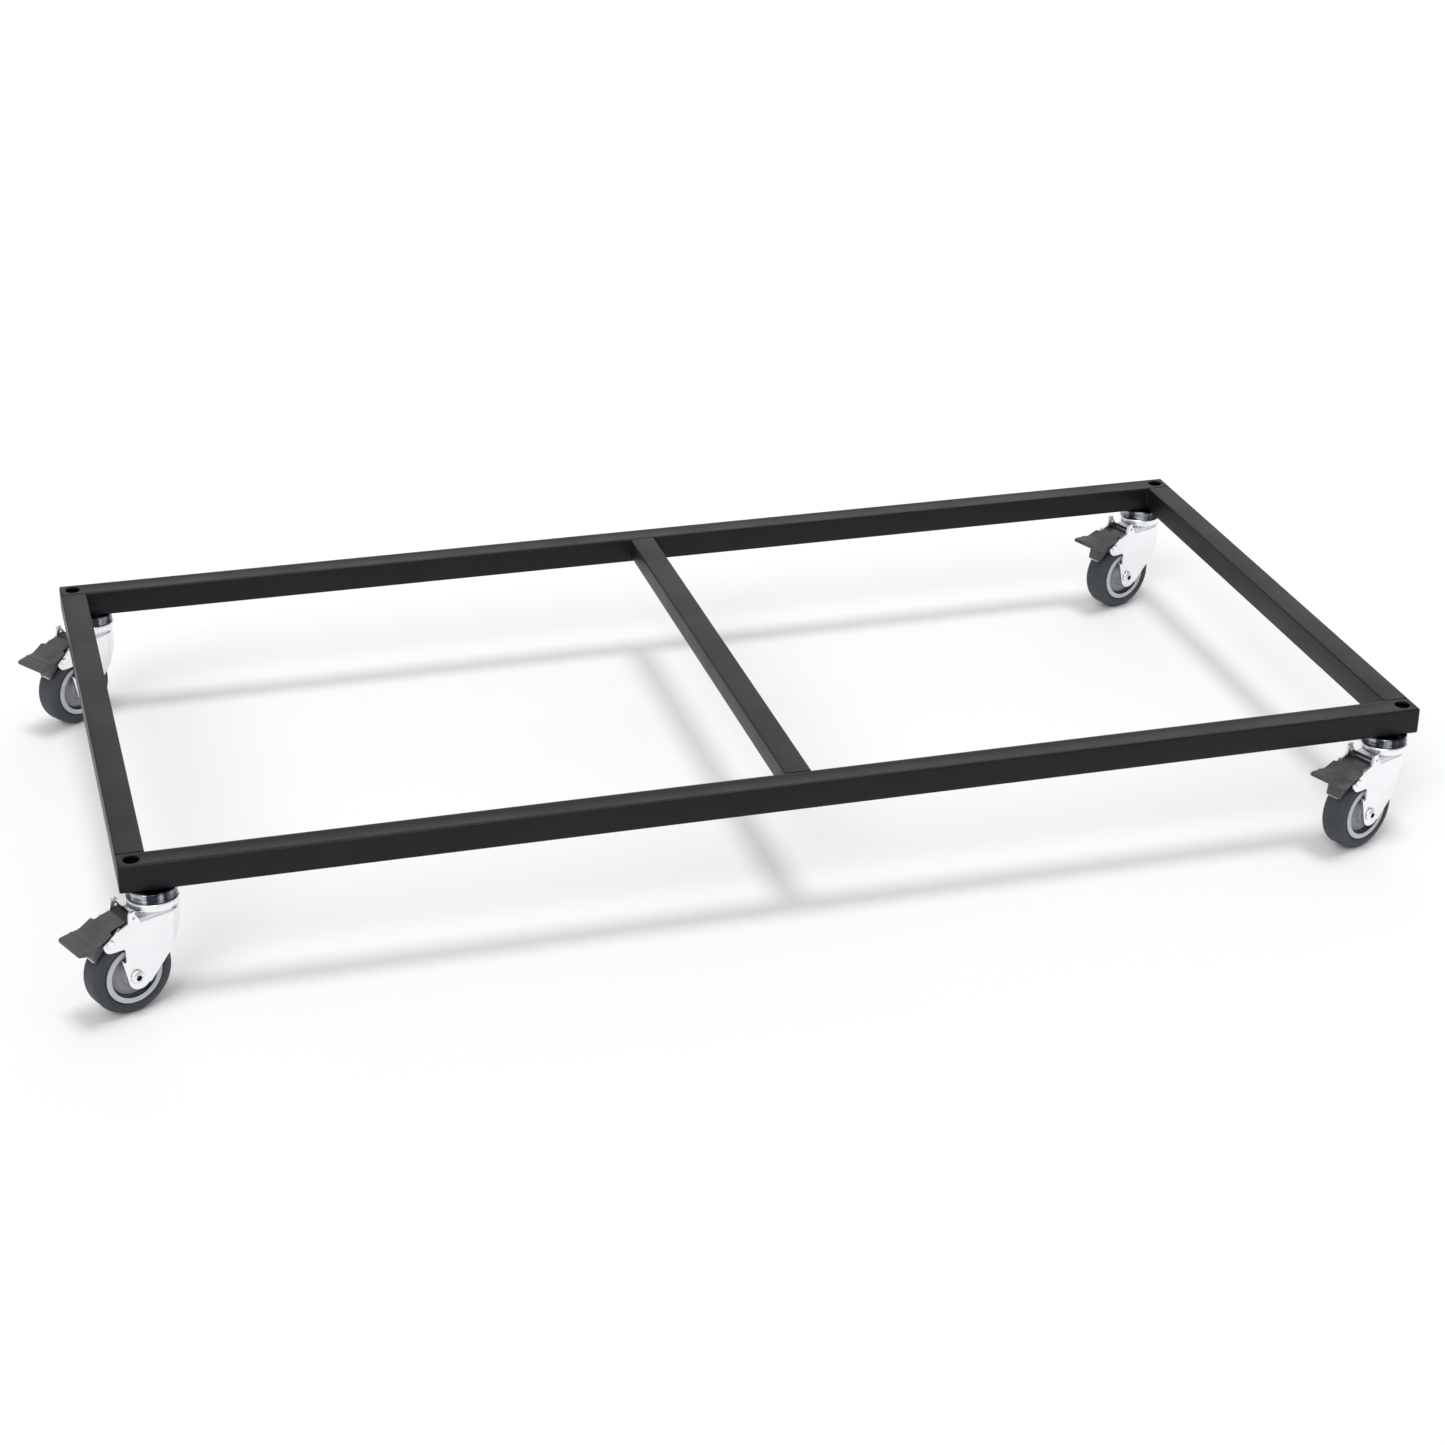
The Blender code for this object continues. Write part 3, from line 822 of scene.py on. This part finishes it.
# The pedal's side view with the brake on, from the neck out to the tip
PEDAL_TOP = [
    (0.0255, -0.0182),
    (0.0320, -0.0186),
    (0.0420, -0.0203),
    (0.0500, -0.0228),
    (0.0560, -0.0254),
    (0.0615, -0.0282),
    (0.0690, -0.0288),
    (0.0775, -0.0299),
    (0.0814, -0.0310),
]
PEDAL_UNDERSIDE = [
    (0.0255, -0.0211),
    (0.0340, -0.0216),
    (0.0440, -0.0230),
    (0.0500, -0.0246),
    (0.0540, -0.0272),
    (0.0625, -0.0310),
    (0.0660, -0.0360),
    (0.0690, -0.0371),
    (0.0755, -0.0362),
    (0.0814, -0.0350),
]


def height_on(line, x, blur=0.0012):
    """The line's height at x, averaged over a short stretch so that its corners are soft."""

    def straight(at):
        at = min(max(at, line[0][0]), line[-1][0])
        for (x0, z0), (x1, z1) in zip(line, line[1:]):
            if at <= x1:
                return z0 + (z1 - z0) * (at - x0) / (x1 - x0)
        return line[-1][1]

    return sum(straight(x + blur * k / 3) for k in range(-3, 4)) / 7


def smooth_step(x, low, high):
    t = min(max((x - low) / (high - low), 0), 1)
    return t * t * (3 - 2 * t)


NECK_START = 0.0345
NECK_END = 0.0487
TREAD_START = 0.0503
LIP = 0.0695
PEDAL_TIP = PEDAL_TOP[-1][0]


def pedal_half_width(x):
    """Narrow between the legs, broad over the wheel and round at the tip's corners."""
    flare = smooth_step(x, NECK_END, TREAD_START)
    width = NECK_HALF_WIDTH + (PEDAL_HALF_WIDTH - NECK_HALF_WIDTH) * flare
    corner = 0.0018
    into = max(0.0, x - (PEDAL_TIP - corner))
    return width - (corner - sqrt(max(corner**2 - into**2, 0)))


def tread_relief(x, y):
    """How far the tread's ribs stand up: curved ones on the slope and one across at the lip."""
    half = pedal_half_width(x)
    inside = 1 - smooth_step(abs(y), half - 0.0034, half - 0.0022)
    reach = sqrt((x - 0.0270) ** 2 + y**2)
    curved = 0.0
    for rib in (0.0245, 0.0285, 0.0325, 0.0365):
        curved = max(curved, 1 - smooth_step(abs(reach - rib), 0.0004, 0.0010))
    on_slope = smooth_step(x, 0.0495, 0.0510) * (1 - smooth_step(x, LIP - 0.0030, LIP - 0.0020))
    across = 1 - smooth_step(abs(x - LIP), 0.0006, 0.0015)
    return 0.0006 * inside * curved * on_slope + 0.0007 * across


def pedal_section(x, inset):
    """The pedal's cross-section at x: crowned on top, with rounded edges."""
    half = pedal_half_width(x) - inset
    crown = 0.0011 * smooth_step(x, 0.0480, 0.0600)
    top, under = height_on(PEDAL_TOP, x) - inset, height_on(PEDAL_UNDERSIDE, x) + inset
    edge = min(0.0011, (top - under) * 0.35)
    ring = []
    count = 56
    for k in range(count + 1):
        y = (half - edge) * (1 - 2 * k / count)
        rise = -crown * (y / half) ** 2 + tread_relief(x, y)
        ring.append((x, y, top + rise))
    low = -crown
    for a in (20, 45, 70):
        y = -(half - edge) - edge * sin(radians(a))
        ring.append((x, y, top + low - edge * (1 - cos(radians(a)))))
    ring.append((x, -half, top + low - edge))
    ring.append((x, -half, under + edge))
    for a in (60, 20):
        y = -(half - edge) - edge * sin(radians(a))
        ring.append((x, y, under + edge * (1 - cos(radians(a)))))
    ring.append((x, -(half - edge), under))
    lower = [(x, y, z) for x, y, z in reversed(ring[count + 1 :])]
    ring += [(x, -y, z) for x, y, z in lower]
    return ring


def brake_pedal():
    """The foot pedal, lofted from its neck to its tip."""
    start, count, rounding = PEDAL_TOP[0][0], 100, 0.0009
    length = PEDAL_TIP - start
    turns = (pi / 8 * k for k in range(4))
    ends = [(rounding * (1 - cos(a)), rounding * (1 - sin(a))) for a in turns]
    middle = length - 2 * rounding
    stations = [(start + along, inset) for along, inset in ends]
    stations += [(start + rounding + middle * k / count, 0.0) for k in range(count + 1)]
    stations += [(PEDAL_TIP - along, inset) for along, inset in reversed(ends)]
    pedal = lofted("pedal_moulding", [pedal_section(x, inset) for x, inset in stations])
    # The neck takes the black finish: partly its own darker plastic, partly painted shade from the
    # rail above.
    for face in pedal.data.polygons:
        face.material_index = int(face.center.x < NECK_START)
    return pedal


def brake_lever():
    """The lever under the pedal, down to the shoe's seat over the tyre."""
    centre = (AXLE.x, AXLE.z)
    seat = arc(centre, WHEEL_RADIUS + 0.0016, 32, 46, 8)
    heel = arc(centre, WHEEL_RADIUS + 0.0022, 52, 60, 4)
    top = rounded(
        [
            (0.0497, -0.0256, 0),
            (0.0537, -0.0279, 0.002),
            (0.0622, -0.0317, 0.001),
            (0.0627, -0.0335, 0.001),
            (0.0622, -0.0500, 0),
        ],
        4,
    )
    outline = top + seat + heel + [(0.0458, -0.0300)]
    lever = extruded("lever_moulding", outline, -LEVER_HALF_WIDTH, LEVER_HALF_WIDTH)
    bore = PIN_RADIUS + 0.0003
    drill = [(0, -0.03), (bore, -0.03), (bore, 0.03), (0, 0.03)]
    combine(lever, turned("bore", drill, 32, "Y", PIVOT, closed=False))
    return soften(lever, 0.0004, 2)


def brake_shoe():
    """The serrated steel shoe that the lever presses on the tyre."""
    centre = (AXLE.x, AXLE.z)
    teeth = 9
    shoe = []
    for k in range(2 * teeth + 1):
        radius = WHEEL_RADIUS + (0.0011 if k % 2 else 0.0005)
        shoe += arc(centre, radius, 31.5 + 14.5 * k / (2 * teeth), 31.5, 2)[:1]
    back = arc(centre, WHEEL_RADIUS + 0.0021, 46, 31.5, 8)
    shoe_object = extruded("shoe_steel", shoe + back, -SHOE_HALF_WIDTH, SHOE_HALF_WIDTH)
    return soften(shoe_object, 0.00015, 1)


# Piece: (function, materials, body, CAD node that it stands for, the record's slot)
CASTOR_PIECES = {
    "head_cap": (head_cap, ["head"], "frame", "head_race", "dark_steel"),
    "fork_crown": (fork_crown, ["zinc"], "swivel", None, "zinc_plate"),
    "fork_yoke": (fork_yoke, ["zinc", "painted_shade_zinc"], "swivel", "fork", "zinc_plate"),
    "axle_bolt_head": (axle_bolt, ["zinc", "neck"], "swivel", "axle_bolt", "zinc_plate"),
    "axle_lock_nut": (axle_nut, ["zinc"], "swivel", "axle_nut", "zinc_plate"),
    "pedal_rivet": (pedal_pin, ["zinc"], "swivel", "pedal_pin", "zinc_plate"),
    "tyre_rubber": (tyre, ["rubber"], "wheel", "tyre", "grey_rubber"),
    "hub_moulding": (wheel_hub, ["hub", "hub_rim", "rubber"], "wheel", "wheel_hub", "grey_plastic"),
    "pedal_moulding": (brake_pedal, ["pedal", "neck"], "pedal", "brake_pedal", "dark_plastic"),
    "lever_moulding": (brake_lever, ["pedal"], "pedal", "brake_lever", "dark_plastic"),
    "shoe_steel": (brake_shoe, ["zinc"], "pedal", None, "zinc_plate"),
}

# CAD nodes that stay as they are, with a finer material
KEPT_NODES = {
    "weld_nut": "dark_steel",
    "stem_bolt": "zinc",
    "ball_ring": "dark_steel",
    "axle_sleeve": "dark_steel",
}


def make_castors(materials):
    shared = {}
    for name, (make, finishes, *_) in CASTOR_PIECES.items():
        obj = make()
        shade(obj, [materials[finish] for finish in finishes])
        shared[name] = obj.data
        bpy.data.objects.remove(obj)
    for corner in CORNERS:
        axes = castor_axes(corner)
        lift = radians(max(JOINTS[corner + "_pedal_press"]["range_deg"]))
        turned_up = Matrix.Rotation(-lift, 4, "Y")
        lifted = Matrix.Translation(PIVOT) @ turned_up @ Matrix.Translation(-PIVOT)
        for name, (_, _, body, node, slot) in CASTOR_PIECES.items():
            mesh = shared[name].copy()
            mesh.transform(axes @ lifted if body == "pedal" else axes)
            piece = bpy.data.objects.new(f"{corner}_{name}", mesh)
            bpy.context.scene.collection.objects.link(piece)
            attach(piece, body if body == "frame" else f"{corner}_{body}")
            if node:
                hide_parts(f"{corner}_{node}")
        for node, finish in KEPT_NODES.items():
            shade(frame["nodes"][f"{corner}_{node}"], [materials[finish]])


# The studio

WORLD_LIGHT = 0.54


def make_floor():
    middle = (CAD_BOX[0] + CAD_BOX[1]) / 2
    size = 12.0
    bm = bmesh.new()
    bmesh.ops.create_grid(bm, x_segments=1, y_segments=1, size=size)
    bmesh.ops.translate(bm, vec=(middle.x, middle.y, CAD_BOX[0].z - 0.0002), verts=bm.verts)
    floor = object_of("studio_floor", bm)
    made, _, shader = nodes_of("studio_floor")
    shader.inputs["Base Color"].default_value = (0.93, 0.93, 0.935, 1)
    shader.inputs["Roughness"].default_value = 0.9
    shader.inputs["Specular IOR Level"].default_value = 0.0
    floor.data.materials.append(made)


def sun(name, tilt_x, tilt_y, strength, spread_angle):
    """A soft sun whose light leans by tilt_x towards +X and by tilt_y towards +Y, in degrees."""
    data = bpy.data.lights.new(name, "SUN")
    data.energy = strength
    data.angle = radians(spread_angle)
    light = bpy.data.objects.new(name, data)
    bpy.context.scene.collection.objects.link(light)
    toward = Vector((tan(radians(tilt_x)), tan(radians(tilt_y)), -1))
    light.rotation_euler = toward.to_track_quat("-Z", "Y").to_euler()


def reflector(middle, width, height, brightness, aim):
    """A large pale panel that the frame's top faces mirror; brightness is its radiance."""
    data = bpy.data.lights.new("back_panel", "AREA")
    data.shape = "RECTANGLE"
    data.size = width
    data.size_y = height
    data.energy = brightness * pi * width * height
    light = bpy.data.objects.new("back_panel", data)
    bpy.context.scene.collection.objects.link(light)
    light.location = middle
    light.rotation_euler = (Vector(aim) - Vector(middle)).to_track_quat("-Z", "Y").to_euler()
    light.visible_camera = False


def make_lights():
    world = bpy.data.worlds.new("studio")
    world.use_nodes = True
    world.node_tree.nodes["Background"].inputs["Color"].default_value = (1.0, 1.0, 1.0, 1)
    world.node_tree.nodes["Background"].inputs["Strength"].default_value = WORLD_LIGHT
    bpy.context.scene.world = world
    sun("overhead", 0, 4, 1.05, 16)
    sun("front_left_light", 36, 45, 1.00, 32)
    reflector((2.6, 6.0, 3.2), 9.0, 3.0, 0.85, (0, 0, 0))


def make_camera():
    """A long lens, placed from the front rail's near left corner."""
    low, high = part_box("front_rail")
    length = high.x - low.x
    corner = Vector((low.x, low.y, high.z))
    data = bpy.data.cameras.new("camera")
    data.lens = 73.37
    data.sensor_width = 36
    data.clip_start = 0.05
    camera = bpy.data.objects.new("camera", data)
    bpy.context.scene.collection.objects.link(camera)
    camera.location = corner + length * Vector((-0.09703, -1.82633, 0.99661))
    azimuth, elevation, roll = radians(16.24), radians(26.25), radians(0.72)
    level_part = cos(elevation)
    forward = Vector((sin(azimuth) * level_part, cos(azimuth) * level_part, -sin(elevation)))
    level = forward.to_track_quat("-Z", "Y").to_matrix()
    camera.rotation_euler = (level @ Matrix.Rotation(roll, 3, "Z")).to_euler()
    bpy.context.scene.camera = camera


def main():
    materials = make_materials()
    make_frame(materials)
    make_castors(materials)
    make_floor()
    make_lights()
    make_camera()
    bpy.context.scene.view_settings.view_transform = "Standard"


main()
